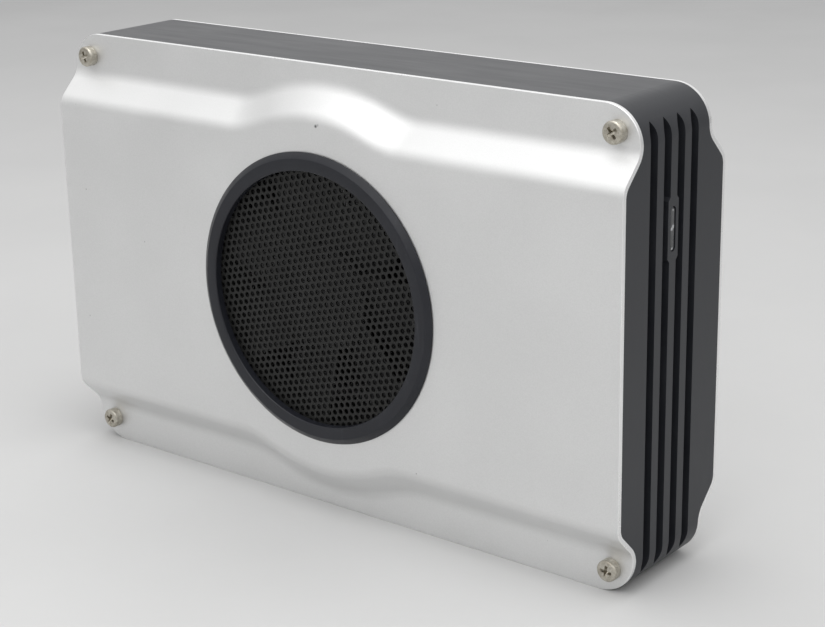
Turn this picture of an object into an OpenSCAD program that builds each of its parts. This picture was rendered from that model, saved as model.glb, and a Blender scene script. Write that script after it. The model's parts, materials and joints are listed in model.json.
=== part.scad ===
// External enclosure for a 3.5 inch hard disk, with the disk drive inside it.
// It stands on a long edge: X runs along the case, from the sockets (-X) to the status light (+X),
// -Y is the side with the fan grille, and Z is up. The origin is in the middle of the bottom edge.

/* [Case] */
// Length of the case, from end face to end face
case_length = 202; // [202:0.5:205]
// Height of the case as it stands on its edge
case_height = 130; // [130:0.5:132]
// Radius of the four corners of the case outline
corner_r = 10.5; // [9.5:0.5:11]
// Thickness of the pressed aluminium covers
sheet = 1.2; // [1:0.1:1.5]
// Half thickness of the frame under the cover's flanges
flange_y = 15.5; // [15.5:0.1:15.7]
// Radius of the round swelling around the grille, at the middle of its slope
bulge_r = 55.4; // [54:0.2:56]

/* [Grille] */
// Radius of the grille ring at its foot
ring_r = 42; // [41.5:0.5:43]
// Height that the ring stands out from the cover
ring_proud = 1.6; // [1.2:0.1:2]
// Distance between neighbouring holes in the grille plate
hole_pitch = 2.22; // [2.2:0.01:2.6]
// Radius of the holes in the grille plate
hole_r = 0.75; // [0.6:0.05:0.8]

/* [Grooves] */
// Number of upright grooves in the end face
groove_count = 4; // [2:1:4]
// Width of each groove
groove_w = 3.3; // [3:0.1:3.5]
// Depth of each groove
groove_depth = 2.4; // [1.8:0.1:2.6]

/* [Moving parts] */
// Number of fan blades
blade_count = 7; // [5:1:9]
// Angle between the two resting places of the power rocker, in degrees
rocker_swing = 20; // [16:1:22]

/* [Hidden] */

$fn = 64;
over = 1;             // how far a cutter runs past the face it cuts
snug = 0.1;           // gap between a part and the pocket that holds it
running = 0.03;       // radial clearance of a shaft in its bearing

// Case: the covers' flanges lie at flange_y and their raised middle at plateau_y
case_top = case_height;
half_length = case_length / 2;
mid_z = case_height / 2;
rise = 7.5;           // height of the raised middle above the flange
plateau_y = flange_y + rise;
cover_y = plateau_y + sheet;
bend_r = 5.5;         // outer radius of both bends of the cover's slope
bend_angle = 45;
bend_step = 9;
bend_mid = 15.8;      // from the long edge to the middle of the slope, on the outside of the cover
bend_run = rise / 2 + bend_r * tan(bend_angle / 2);
side_wall = 3;        // wall of the frame along the long edges
end_wall = 4;         // wall of the frame at the ends
inner_corner_r = 7;
inner_x = half_length - end_wall;
screw_inset = 6.8;      // corner screws, from both edges
screw_x = half_length - screw_inset;
screw_zs = [screw_inset, case_top - screw_inset];
m3_r = 1.5;
m3_head_r = 3;
m3_head_h = 2.8;
m3_hole_r = 1.55;

// Grooves in the end face
groove_pitch = 6.4;
groove_mid_y = -1;
groove_floor_x = half_length - groove_depth;

// Grille and fan
grille_hole_r = 40;   // opening in the front cover
ring_bore_r = 36.8;
plate_r = 38.4;       // perforated plate inside the ring
plate_front_y = -23.5;
hole_rows_angle = 15.5;
gasket_t = 1;
fan_size = 80;
fan_t = 10;
fan_front_y = -plateau_y + gasket_t;
fan_back_y = fan_front_y + fan_t;
fan_pitch = 71.5;     // between the fan's corner holes
duct_r = 37.5;
blade_tip_r = 36.4;
rotor_r = 15.5;
rotor_back_y = fan_back_y - 2.4;

// Status light in the middle rib
light_z = 96.2;
light_w = 2.4;
light_h = 11.8;
light_board_x = inner_x - 4.5;

// Board and sockets at the connector end
board_y = 15.9;       // face of the bridge board that carries the parts
board_t = 1.6;
board_x = [-inner_x + 0.5, -61];
board_z = [21, 109];
post_x = -inner_x + 3;
post_zs = [24, 106];
post_r = 3.5;
jack_y = 10.9;
jack_z = 34;
usb_z = 52;
usb_w = 12;
usb_h = 12;
rocker_y = 5;
rocker_z = 86;
rocker_pivot_x = -half_length + 1;
vent_w = 2.2;
vent_pitch = 4;
vent_zs = [30, 70];

// Hard disk: 147 x 101.6 x 26.1, lid towards the fan
drive_x = [-56, 91];
drive_z = [mid_z - 50.8, mid_z + 50.8];
drive_y = [-8.8, 17.3];
lid_t = 0.9;
seal_t = 0.5;
base_front_y = drive_y[0] + lid_t + seal_t;
bay_floor_y = 8;
pocket_y = 11.5;      // floor of the pocket for the drive's own board
pocket_z = [drive_z[0] + 9.8, drive_z[1] - 9.8];
spindle = [40.5, mid_z];
platter_r = 47.5;
platter_t = 1.27;
hub_r = 12.45;
clamp_r = 15;
upper_platter_y = -2.77;
lower_platter_y = 1.73;
pivot = [-13, mid_z + 18];
pivot_r = 3;
sleeve_r = 6;
park_angle = -74.9;   // direction of the parked arm, from +X towards +Z
arm_levels = [-5.2, -0.5, 4.3];
arm_t = 1.1;
head_reach = 50;      // from the pivot to the heads
coil_r = [12, 26.6];
coil_spread = 19;     // half angle of the coil
rail_y = [7, 15.4];
rail_hole_y = drive_y[1] - 6.35;
rail_hole_xs = [drive_x[0] + 28.5, drive_x[0] + 130.1];
unc_r = 1.75;

// ---------- Shared shapes ----------

// Extrudes a drawing in (x, z) along Y
module along_y(y0, y1) {
    translate([0, y1, 0]) rotate([90, 0, 0]) linear_extrude(y1 - y0) children();
}

// Extrudes a drawing in (y, z) along X
module along_x(x0, x1) {
    translate([x0, 0, 0]) rotate([90, 0, 90]) linear_extrude(x1 - x0) children();
}

// Turns a profile of [radius, y] points about an axis along Y
module turned_y(at, profile) {
    translate([at[0], 0, at[1]]) rotate([90, 0, 0])
        rotate_extrude() polygon([for (p = profile) [p[0], -p[1]]]);
}

module disc_y(at, r, y0, y1) {
    translate([at[0], y1, at[1]]) rotate([90, 0, 0]) cylinder(h = y1 - y0, r = r);
}

module tube_y(at, r_out, r_in, y0, y1) {
    difference() {
        disc_y(at, r_out, y0, y1);
        disc_y(at, r_in, y0 - over, y1 + over);
    }
}

// Box from its lowest to its highest corner
module block(low, high) {
    translate(low) cube(high - low);
}

module rounded_plate(w, h, r) {
    square([w - 2 * r, h], center = true);
    square([w, h - 2 * r], center = true);
    for (x = [-1, 1], y = [-1, 1]) translate([x * (w / 2 - r), y * (h / 2 - r)]) circle(r);
}

// Upright slot with round ends
module slot_shape(w, h) {
    square([w, h - w], center = true);
    for (s = [-1, 1]) translate([0, s * (h - w) / 2]) circle(w / 2);
}

module sector(r_in, r_out, from, to) {
    mid = (from + to) / 2;
    reach = 2 * r_out;
    intersection() {
        difference() {
            circle(r_out);
            circle(r_in);
        }
        polygon(concat([[0, 0]], [for (a = [from, mid, to]) reach * [cos(a), sin(a)]]));
    }
}

// Pan head screw with its seat at z = 0, its head above and its shank below
module pan_screw(head_r, head_h, shank_r, shank_l) {
    recess_w = head_r * 0.28;
    recess_l = head_r * 1.15;
    recess_depth = head_h * 0.6;
    round_r = head_h * 0.6;
    dome = [for (a = [0 : 22.5 : 90])
        [head_r - round_r + round_r * cos(a), head_h - round_r + round_r * sin(a)]];
    difference() {
        rotate_extrude() polygon(concat([[0, -shank_l], [shank_r, -shank_l], [shank_r, 0], [head_r, 0]],
                                        dome, [[0, head_h]]));
        for (turn = [0, 90]) rotate([0, 0, turn])
            translate([-recess_l / 2, -recess_w / 2, head_h - recess_depth])
                cube([recess_l, recess_w, head_h]);
    }
}

// Screw whose head faces -Y (side = -1) or +Y (side = 1)
module screw_y(at, seat_y, side, head_r, head_h, shank_r, shank_l) {
    translate([at[0], seat_y, at[1]]) rotate([-90 * side, 0, 0]) pan_screw(head_r, head_h, shank_r, shank_l);
}

// Point at share t of the way from p[1] to p[2] on a smooth curve through all four
function curve_point(p, t) = 0.5 * (2 * p[1] + (p[2] - p[0]) * t
    + (2 * p[0] - 5 * p[1] + 4 * p[2] - p[3]) * t * t
    + (3 * p[1] - p[0] - 3 * p[2] + p[3]) * t * t * t);

// Smooth route through a few points, with steps points for each stretch
function smooth_route(points, steps) = let (last = len(points) - 1) concat(
    [for (i = [0 : last - 1], k = [0 : steps - 1])
        curve_point([for (j = [-1 : 2]) points[min(max(i + j, 0), last)]], k / steps)],
    [points[last]]);

function unit(v) = v / norm(v);

// Round wire along a route: one ring of corners at each point, joined side by side
module wire(points, r) {
    sides = 8;
    steps = 3;
    lean = [0.31, 0.52, -0.8];    // no stretch of wire runs in this direction
    route = smooth_route(points, steps);
    last = len(route) - 1;
    corners = [for (i = [0 : last])
        let (ahead = unit(route[min(i + 1, last)] - route[max(i - 1, 0)]),
             across = unit(cross(ahead, lean)), up = cross(across, ahead))
        for (k = [0 : sides - 1]) route[i] + r * (across * cos(k * 360 / sides) + up * sin(k * 360 / sides))];
    walls = [for (i = [0 : last - 1], k = [0 : sides - 1])
        let (a = i * sides + k, b = i * sides + (k + 1) % sides)
            each [[a, b, b + sides], [a, b + sides, a + sides]]];
    caps = [[for (k = [sides - 1 : -1 : 0]) k], [for (k = [0 : sides - 1]) last * sides + k]];
    polyhedron(corners, concat(walls, caps));
}

// Two wires side by side, shift apart
module wire_pair(points, r, shift) {
    for (s = [0, 1]) wire([for (p = points) p + s * shift], r);
}

// ---------- Case ----------

// Slope of a cover, [distance from the edge, y], for a surface outside the frame by offset
function slope_points(offset) = concat(
    let (inside = sheet - offset, foot_r = bend_r + inside)
        [for (a = [0 : bend_step : bend_angle])
            [bend_mid - bend_run + foot_r * sin(a), flange_y + offset + foot_r * (1 - cos(a))]],
    let (inside = sheet - offset, crest_r = bend_r - inside)
        [for (a = [bend_angle : -bend_step : 0])
            [bend_mid + bend_run - crest_r * sin(a), plateau_y + offset - crest_r * (1 - cos(a))]]);

function reversed(list) = [for (i = [len(list) - 1 : -1 : 0]) list[i]];

// One edge of the case's cross-section, [y, z], from the bottom to the top
function section_edge(offset) = concat(
    [[flange_y + offset, -over]],
    [for (p = slope_points(offset)) [p[1], p[0]]],
    [for (p = reversed(slope_points(offset))) [p[1], case_top - p[0]]],
    [[flange_y + offset, case_top + over]]);

module case_outline(inset_x = 0, inset_z = 0, r = corner_r) {
    translate([0, mid_z]) rounded_plate(case_length - 2 * inset_x, case_height - 2 * inset_z, r);
}

// Everything under the surface of the back cover, down to y = 10
module pressed_form(offset, bulged) {
    under_y = 10;
    along_x(-half_length - over, half_length + over)
        polygon(concat([[under_y, -over]], section_edge(offset), [[under_y, case_top + over]]));
    if (bulged) turned_y([0, mid_z], concat(
        [[0, under_y], [0, plateau_y + offset]],
        [for (p = reversed(slope_points(offset))) [bulge_r + bend_mid - p[0], p[1]]],
        [[bulge_r + bend_run, under_y]]));
}

module cover_sheet(bulged) {
    intersection() {
        along_y(flange_y - over, cover_y + over) case_outline();
        difference() {
            pressed_form(sheet, bulged);
            pressed_form(0, bulged);
        }
    }
}

module corner_holes(r, y0, y1) {
    for (x = [-screw_x, screw_x], z = screw_zs) disc_y([x, z], r, y0, y1);
}

module front_cover() {
    clear_r = 1.7;
    color("silver") difference() {
        mirror([0, 1, 0]) cover_sheet(true);
        corner_holes(clear_r, -cover_y, -flange_y + over);
        disc_y([0, mid_z], grille_hole_r, -cover_y - over, -flange_y);
    }
}

module back_cover() {
    clear_r = 1.7;
    color("silver") difference() {
        cover_sheet(false);
        corner_holes(clear_r, flange_y - over, cover_y);
    }
}

module front_cover_screws() {
    color("tan") for (x = [-screw_x, screw_x], z = screw_zs)
        screw_y([x, z], -flange_y - sheet, -1, m3_head_r, m3_head_h, m3_r, 9);
}

module back_cover_screws() {
    color("tan") for (x = [-screw_x, screw_x], z = screw_zs)
        screw_y([x, z], flange_y + sheet, 1, m3_head_r, m3_head_h, m3_r, 9);
}

// Solid block of the frame before it is hollowed
module frame_block() {
    edge = section_edge(0);
    intersection() {
        along_y(-plateau_y, plateau_y) case_outline();
        along_x(-half_length - over, half_length + over)
            polygon(concat(edge, [for (p = reversed(edge)) [-p[0], p[1]]]));
    }
}

module frame_bosses() {
    boss_r = 4;
    lip_y = [5.6, 6.95];
    lip_h = 4;
    lip_x = [-50, 88];
    clip_t = 1.5;
    clip_y = [-7, 5];
    intersection() {
        frame_block();
        corner_holes(boss_r, -flange_y, flange_y);
    }
    for (z = post_zs) disc_y([post_x, z], post_r, -10, board_y);
    for (z = [side_wall - over, case_top - side_wall - lip_h])
        block([lip_x[0], lip_y[0], z], [lip_x[1], lip_y[1], z + lip_h + over]);
    for (z = [light_z - 10 - clip_t, light_z + 10])
        block([light_board_x - over, clip_y[0], z], [inner_x + over, clip_y[1], z + clip_t]);
}

// Upright grooves that run out to a point in the rounded corners
module end_grooves() {
    first_y = groove_mid_y - groove_pitch * (groove_count - 1) / 2;
    reach = mid_z - 4.8;
    point_l = 3.8;
    point_step = 0.2;
    flank = [for (t = [0 : point_step : 1 - point_step / 2])
        [groove_w / 2 * (1 - t * t), reach - point_l * (1 - t)]];
    upper = concat(flank, [[0, reach]], [for (p = reversed(flank)) [-p[0], p[1]]]);
    for (i = [0 : groove_count - 1])
        along_x(groove_floor_x, half_length + over) translate([first_y + i * groove_pitch, mid_z])
            polygon(concat(upper, [for (p = reversed(upper)) [p[0], -p[1]]]));
}

// The rib around the status light is wider than the others
module light_rib() {
    rib_w = 4.8;
    rib_h = 15;
    tip_w = 3;
    tip_h = 17;
    along_x(groove_floor_x - over, half_length) translate([groove_mid_y, light_z]) polygon([
        [-rib_w / 2, -rib_h / 2], [-tip_w / 2, -tip_h / 2], [tip_w / 2, -tip_h / 2], [rib_w / 2, -rib_h / 2],
        [rib_w / 2, rib_h / 2], [tip_w / 2, tip_h / 2], [-tip_w / 2, tip_h / 2], [-rib_w / 2, rib_h / 2]]);
}

module socket_cutouts() {
    outside = -half_length - over;
    inside = -inner_x + over;
    nose_r = 4.2;
    usb_gap = 0.3;
    switch_w = 9;
    switch_h = 14;
    along_x(outside, inside) {
        translate([jack_y, jack_z]) circle(nose_r);
        translate([board_y - usb_h / 2, usb_z])
            square([usb_h + 2 * usb_gap, usb_w + 2 * usb_gap], center = true);
        translate([rocker_y, rocker_z]) square([switch_w, switch_h], center = true);
        for (i = [0 : 3]) translate([-16 + i * vent_pitch, (vent_zs[0] + vent_zs[1]) / 2])
            slot_shape(vent_w, vent_zs[1] - vent_zs[0]);
    }
}

module middle_frame() {
    screw_depth = 10;
    post_screw_depth = 8;
    color([0.27, 0.28, 0.30]) difference() {
        union() {
            difference() {
                frame_block();
                along_y(-cover_y, cover_y) case_outline(end_wall, side_wall, inner_corner_r);
                end_grooves();
            }
            frame_bosses();
            light_rib();
        }
        corner_holes(m3_hole_r, -flange_y - over, -flange_y + screw_depth);
        corner_holes(m3_hole_r, flange_y - screw_depth, flange_y + over);
        for (z = post_zs) disc_y([post_x, z], 1.3, board_y - post_screw_depth, board_y + over);
        along_x(inner_x - over, half_length + over)
            translate([groove_mid_y, light_z]) slot_shape(light_w, light_h);
        socket_cutouts();
    }
}

// ---------- Grille ----------

module grille_ring() {
    round_r = ring_proud;
    inner_round = 0.6;
    sleeve_out_r = 39.8;
    recess_r = 38.5;
    face_y = cover_y + ring_proud;
    hook_r = [38.8, 41];
    hook_y = [22.2, 22.98];
    sleeve_end_y = plateau_y - 0.3;
    hook_w = 8;
    outer_round = [for (a = [0 : 15 : 90]) [ring_r - round_r + round_r * cos(a), cover_y + round_r * sin(a)]];
    bore_round = [for (a = [90 : 15 : 180])
        [ring_bore_r + inner_round + inner_round * cos(a), face_y - inner_round + inner_round * sin(a)]];
    color([0.2, 0.2, 0.22]) {
        mirror([0, 1, 0]) turned_y([0, mid_z], concat(
            [[sleeve_out_r, sleeve_end_y], [sleeve_out_r, cover_y]], outer_round, bore_round,
            [[ring_bore_r, -plate_front_y], [recess_r, -plate_front_y], [recess_r, sleeve_end_y]]));
        for (a = [45 : 90 : 315]) translate([0, 0, mid_z]) rotate([0, a + 45, 0]) intersection() {
            tube_y([0, 0], hook_r[1], hook_r[0], -hook_y[1], -hook_y[0]);
            block([0, -plateau_y - over, -hook_w / 2], [hook_r[1] + over, 0, hook_w / 2]);
        }
    }
}

// Perforated disc with round holes in a triangular pattern
module grille_plate() {
    rim = 0.3;
    row_h = hole_pitch * sin(60);
    rows = ceil(plate_r / row_h);
    columns = ceil(plate_r / hole_pitch) + 1;
    color([0.15, 0.15, 0.16]) translate([0, 0, mid_z]) along_y(plate_front_y, -plateau_y) difference() {
        circle(plate_r);
        rotate(hole_rows_angle) for (j = [-rows : rows], i = [-columns : columns]) {
            x = (i + (j % 2 == 0 ? 0 : 0.5)) * hole_pitch;
            z = j * row_h;
            if (norm([x, z]) < plate_r - rim - hole_r) translate([x, z]) circle(hole_r, $fn = 16);
        }
    }
}

module fan_gasket() {
    color("dimgray") tube_y([0, mid_z], 38.4, duct_r, -plateau_y, fan_front_y);
}

// ---------- Fan ----------

module at_fan_corners() {
    for (x = [-1, 1], z = [-1, 1]) translate([x * fan_pitch / 2, 0, mid_z + z * fan_pitch / 2]) children();
}

module fan_studs() {
    foot_r = 2.5;
    foot_t = 0.9;
    past_nut = 0.4;
    nut_t = 2.4;
    color("silver") at_fan_corners() {
        disc_y([0, 0], foot_r, -plateau_y, -plateau_y + foot_t);
        disc_y([0, 0], m3_r, -plateau_y + foot_t, fan_back_y + nut_t + past_nut);
    }
}

module fan_nuts() {
    nut_r = 3.2;
    nut_t = 2.4;
    color("silver") at_fan_corners() difference() {
        translate([0, fan_back_y + nut_t, 0]) rotate([90, 0, 0]) cylinder(h = nut_t, r = nut_r, $fn = 6);
        disc_y([0, 0], m3_hole_r, fan_back_y - over, fan_back_y + nut_t + over);
    }
}

module fan_square() {
    translate([0, mid_z]) rounded_plate(fan_size, fan_size, 4);
}

module fan_frame() {
    flange_t = 2.4;
    tube_r = 3.6;
    stud_clear_r = 2.15;
    hub_r = 14;
    hub_t = 1.6;
    strut_w = 3;
    strut_t = 2;
    seat_r = 3.05;
    color([0.12, 0.12, 0.13]) {
        difference() {
            union() {
                along_y(fan_front_y, fan_front_y + flange_t) fan_square();
                along_y(fan_back_y - flange_t, fan_back_y) fan_square();
                disc_y([0, mid_z], duct_r + 1.7, fan_front_y, fan_back_y);
                at_fan_corners() disc_y([0, 0], tube_r, fan_front_y, fan_back_y);
            }
            disc_y([0, mid_z], duct_r, fan_front_y - over, fan_back_y + over);
            at_fan_corners() disc_y([0, 0], stud_clear_r, fan_front_y - over, fan_back_y + over);
        }
        difference() {
            union() {
                disc_y([0, mid_z], hub_r, fan_back_y - hub_t, fan_back_y);
                for (a = [30, 120, 210, 300]) translate([0, 0, mid_z]) rotate([0, a, 0])
                    block([hub_r - over, fan_back_y - strut_t, -strut_w / 2],
                          [duct_r + over, fan_back_y, strut_w / 2]);
                disc_y([0, mid_z], seat_r + 1.2, fan_front_y + 3.6, fan_back_y);
            }
            disc_y([0, mid_z], seat_r, fan_front_y, fan_back_y - 0.8);
        }
    }
}

module fan_bearing() {
    color("darkgoldenrod") tube_y([0, mid_z], 3.05, m3_r + running, fan_front_y + 3.6, fan_back_y - 0.8);
}

module fan_stator() {
    core_r = 6.2;
    pole_r = [5.5, 12];
    pole_w = 3.4;
    coil_w = 5.4;
    coil_reach = [6.8, 10.6];
    y0 = fan_front_y + 4;
    y1 = fan_back_y - 2.2;
    tube_hole_r = 4.3;
    board_r = 12;
    color("peru") difference() {
        union() {
            disc_y([0, mid_z], core_r, y0 + 0.8, y1);
            for (a = [45 : 90 : 315]) translate([0, 0, mid_z]) rotate([0, a, 0]) {
                block([pole_r[0], y0 + 0.8, -pole_w / 2], [pole_r[1], y1 - 0.8, pole_w / 2]);
                block([coil_reach[0], y0, -coil_w / 2], [coil_reach[1], y1, coil_w / 2]);
            }
            disc_y([0, mid_z], board_r, y1, y1 + 0.5);
        }
        disc_y([0, mid_z], tube_hole_r, y0 - over, y1 + over);
    }
}

// Blade: a slanted plate that runs out from the hub
module fan_blade() {
    tip_t = 1.6;
    front = -fan_front_y - 0.9;
    back = -rotor_back_y;
    lean = 9;
    rotate([90, 0, 0]) rotate([90, 0, 90]) linear_extrude(blade_tip_r + over)
        polygon([[-lean, back], [-lean + tip_t, back], [lean, front], [lean - tip_t, front]]);
}

module fan_rotor() {
    cup_t = 1.3;
    cap_t = 1.2;
    front = fan_front_y + 0.9;
    boss_r = 2.8;
    color([0.14, 0.14, 0.15]) translate([0, 0, mid_z]) difference() {
        union() {
            disc_y([0, 0], rotor_r, front, rotor_back_y);
            intersection() {
                for (i = [0 : blade_count - 1]) rotate([0, i * 360 / blade_count, 0]) fan_blade();
                disc_y([0, 0], blade_tip_r, front, rotor_back_y);
            }
        }
        difference() {
            disc_y([0, 0], rotor_r - cup_t, front + cap_t, rotor_back_y + over);
            disc_y([0, 0], boss_r, front, front + cap_t + 1);
        }
        disc_y([0, 0], m3_r, front + 0.6, rotor_back_y + over);
    }
}

module fan_shaft() {
    color("silver") disc_y([0, mid_z], m3_r, fan_front_y + 1.5, fan_back_y - 1);
}

module fan_magnet() {
    color("dimgray") tube_y([0, mid_z], rotor_r - 1.3, 12.6, fan_front_y + 2.1, rotor_back_y - 0.2);
}

module fan_lead() {
    start_x = -fan_size / 2;
    plug_x = -71;
    color("firebrick") wire_pair([
        [start_x - 0.2, -18, 45], [start_x - 6, -17, 46], [-58, -12, 54], [-64, -2, 62], [plug_x, 6, 66],
        [plug_x, 11.3, 66]], 0.6, [0, 0, 1.6]);
}

// ---------- Status light ----------

module light_pipe() {
    flange_w = 3.6;
    flange_h = 13.2;
    flange_t = 1;
    color([0.85, 0.87, 0.88, 0.6]) {
        along_x(inner_x, half_length - snug) translate([groove_mid_y, light_z])
            slot_shape(light_w - 2 * 0.02, light_h - 2 * 0.02);
        along_x(inner_x - flange_t, inner_x)
            translate([groove_mid_y, light_z]) slot_shape(flange_w, flange_h);
    }
}

module light_board() {
    color("darkgreen") block([light_board_x, -6, light_z - 9.9], [light_board_x + 1, 4, light_z + 9.9]);
}

module status_lights() {
    size = [1.6, 2, 2.6];
    color("lightyellow") for (dz = [-3.2, 3.2])
        translate([light_board_x + 1, groove_mid_y - size[1] / 2, light_z + dz - size[2] / 2]) cube(size);
}

module light_lead() {
    run_y = -12;
    run_z = 111;
    plug_x = -74;
    color("dimgray") wire_pair([
        [light_board_x - 0.6, 2.5, 99.6], [light_board_x - 0.6, -4, 99.8], [light_board_x - 0.8, -8.6, 100.2],
        [89.5, run_y + 0.5, 101], [84, run_y, 102.5], [68, run_y, 108.5], [56, run_y, run_z],
        [36, run_y, run_z], [-36, run_y, run_z], [-50, run_y, run_z], [-60, run_y + 1, 110],
        [-70, -4, 104], [plug_x, 6, 100], [plug_x, 11.3, 100]], 0.45, [0, 0, 1.3]);
}

// ---------- Power switch ----------

module switch_housing() {
    bezel = [10.6, 15.6];
    body = [8.8, 13.8];
    hollow = [7.9, 12.9];
    bezel_t = 1.4;
    back_x = -half_length + 13;
    floor_x = -half_length + 7.5;
    pin_hole_r = 0.95;
    color([0.1, 0.1, 0.1]) difference() {
        union() {
            along_x(-half_length - bezel_t, -half_length)
                translate([rocker_y, rocker_z]) rounded_plate(bezel[0], bezel[1], 1.2);
            along_x(-half_length, back_x) translate([rocker_y, rocker_z]) square(body, center = true);
        }
        along_x(-half_length - bezel_t - over, floor_x)
            translate([rocker_y, rocker_z]) square(hollow, center = true);
        disc_y([rocker_pivot_x, rocker_z], pin_hole_r, rocker_y - body[0], rocker_y + body[0]);
    }
}

// Rocker, drawn level and then turned to the place where it rests
module switch_rocker() {
    rocker_w = 7.5;
    pin_r = 0.9;
    pin_reach = 4.2;
    half_l = 5.8;
    end_h = 3.4;
    dip_h = 2.5;
    foot_l = 3.6;
    foot_h = 2.4;
    color([0.13, 0.13, 0.14]) translate([rocker_pivot_x, 0, rocker_z]) rotate([0, rocker_swing / 2, 0]) {
        along_y(rocker_y - rocker_w / 2, rocker_y + rocker_w / 2) polygon([
            [-end_h, -half_l], [-dip_h, -half_l / 3], [-dip_h, half_l / 3], [-end_h, half_l],
            [-0.6, half_l], [foot_h, foot_l], [foot_h, -foot_l], [-0.6, -half_l]]);
        disc_y([0, 0], pin_r, rocker_y - pin_reach, rocker_y + pin_reach);
    }
}

module switch_terminals() {
    blade = [7, 0.8, 3];
    back_x = -half_length + 13;
    color("goldenrod") for (dz = [-4, 4])
        translate([back_x, rocker_y - blade[1] / 2, rocker_z + dz - blade[2] / 2]) cube(blade);
}

module switch_lead() {
    tip_x = -half_length + 20;
    color("black") for (s = [-1, 1]) wire([
        [tip_x + 0.2, rocker_y, rocker_z + 4 * s], [tip_x + 3, rocker_y + 1, rocker_z + 4 * s],
        [tip_x + 6, rocker_y + 4, rocker_z + 1.5 * s], [tip_x + 6, 11.3, rocker_z + 1.5 * s]], 0.7);
}

// ---------- Board and sockets ----------

module bridge_board() {
    hole_r = 1.7;
    color("darkgreen") difference() {
        block([board_x[0], board_y, board_z[0]], [board_x[1], board_y + board_t, board_z[1]]);
        for (z = post_zs) disc_y([post_x, z], hole_r, board_y - over, board_y + board_t + over);
    }
}

// Part that stands on the board: [x, z], size along x and z, and height
module board_part(at, w, h, tall) {
    block([at[0] - w / 2, board_y - tall, at[1] - h / 2], [at[0] + w / 2, board_y, at[1] + h / 2]);
}

module bridge_board_parts() {
    header = [5, 4.2];
    header_h = 4.3;
    capacitor_r = 2.5;
    capacitor_h = 6;
    color([0.15, 0.15, 0.16]) {
        board_part([-74, 76], 10, 10, 1.4);
        board_part([-72, 90], 5, 4, 1.5);
        board_part([-80, 66], 3.2, 1.6, 1);
        board_part([-76, 60], 6, 6, 3);
    }
    color("ivory") {
        board_part([-71, 66.8], header[0], header[1], header_h);
        board_part([-74, 100], header[0], header[1], header_h);
        board_part([-75, 86], header[0], header[1] + 2, header_h);
    }
    color("steelblue") for (at = [[-78, 38], [-72, 32]])
        disc_y(at, capacitor_r, board_y - capacitor_h, board_y);
}

module bridge_board_screws() {
    color("silver") for (z = post_zs) screw_y([post_x, z], board_y + board_t, 1, 2.8, 1.8, 1.25, 6);
}

// Outline of the opening of the socket: a square part with a narrower one above it
module usb_opening(grow) {
    wide = [7.8, 8.5];
    narrow = [2.9, 5.7];
    translate([-wide[0] / 2 - grow, -wide[1] / 2 - grow]) square([wide[0] + 2 * grow, wide[1] + 2 * grow]);
    translate([-wide[0] / 2 - narrow[0] - grow, -narrow[1] / 2 - grow])
        square([narrow[0] + 2 * grow, narrow[1] + 2 * grow]);
}

module usb_shell() {
    wall = 0.5;
    front_x = -half_length + 0.3;
    back_x = front_x + 17;
    mid_y = board_y - usb_h / 2 + 1.4;
    color("lightgray") {
        along_x(front_x, back_x) difference() {
            translate([board_y - usb_h / 2, usb_z]) square([usb_h, usb_w], center = true);
            translate([mid_y, usb_z]) usb_opening(0);
        }
        along_x(back_x - wall, back_x) translate([mid_y, usb_z]) usb_opening(0.2);
    }
}

module usb_insert() {
    front_x = -half_length + 2.2;
    back_x = -half_length + 16.8;
    mid_y = board_y - usb_h / 2 + 1.4;
    tongue = [3.2, 5.6];
    blade = [1, 4];
    blade_y = -5.4;
    root_l = 3;
    color("royalblue") {
        along_x(front_x, back_x) translate([mid_y, usb_z]) square(tongue, center = true);
        along_x(front_x, back_x) translate([mid_y + blade_y, usb_z]) square(blade, center = true);
        along_x(back_x - root_l, back_x) translate([mid_y, usb_z]) usb_opening(-snug);
    }
}

module power_jack() {
    body = [10, 9];
    nose_r = 4;
    socket_r = 3.1;
    pin_hole_r = 1;
    front_x = -half_length + 0.3;
    body_x = -inner_x;
    back_x = body_x + 11;
    socket_end = front_x + 10;
    color([0.1, 0.1, 0.1]) difference() {
        union() {
            along_x(front_x, body_x) translate([jack_y, jack_z]) circle(nose_r);
            along_x(body_x, back_x) translate([jack_y, jack_z]) square(body, center = true);
        }
        along_x(front_x - over, socket_end) translate([jack_y, jack_z]) circle(socket_r);
        along_x(socket_end - over, back_x + over) translate([jack_y, jack_z]) circle(pin_hole_r);
    }
}

module power_jack_pin() {
    pin_r = 1;
    front_x = -half_length + 1.2;
    back_x = -inner_x + 12;
    color("gold") along_x(front_x, back_x) translate([jack_y, jack_z]) circle(pin_r);
}

// Socket on the bridge board that the drive plugs into
module drive_socket() {
    z = [28.9, 67.1];
    nose_y = [11.9, 15.5];
    nose_x = [-57, -52.4];
    foot_x = -66;
    slot_y = [13.05, 14.55];
    slot_z = [29.9, 66.1];
    slot_x = -59;
    color([0.1, 0.1, 0.1]) difference() {
        union() {
            block([foot_x, nose_y[0], z[0]], [nose_x[0], board_y, z[1]]);
            block([nose_x[0], nose_y[0], z[0]], [nose_x[1], nose_y[1], z[1]]);
        }
        block([slot_x, slot_y[0], slot_z[0]], [nose_x[1] + over, slot_y[1], slot_z[1]]);
    }
}

// ---------- Drive mounting ----------

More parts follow.
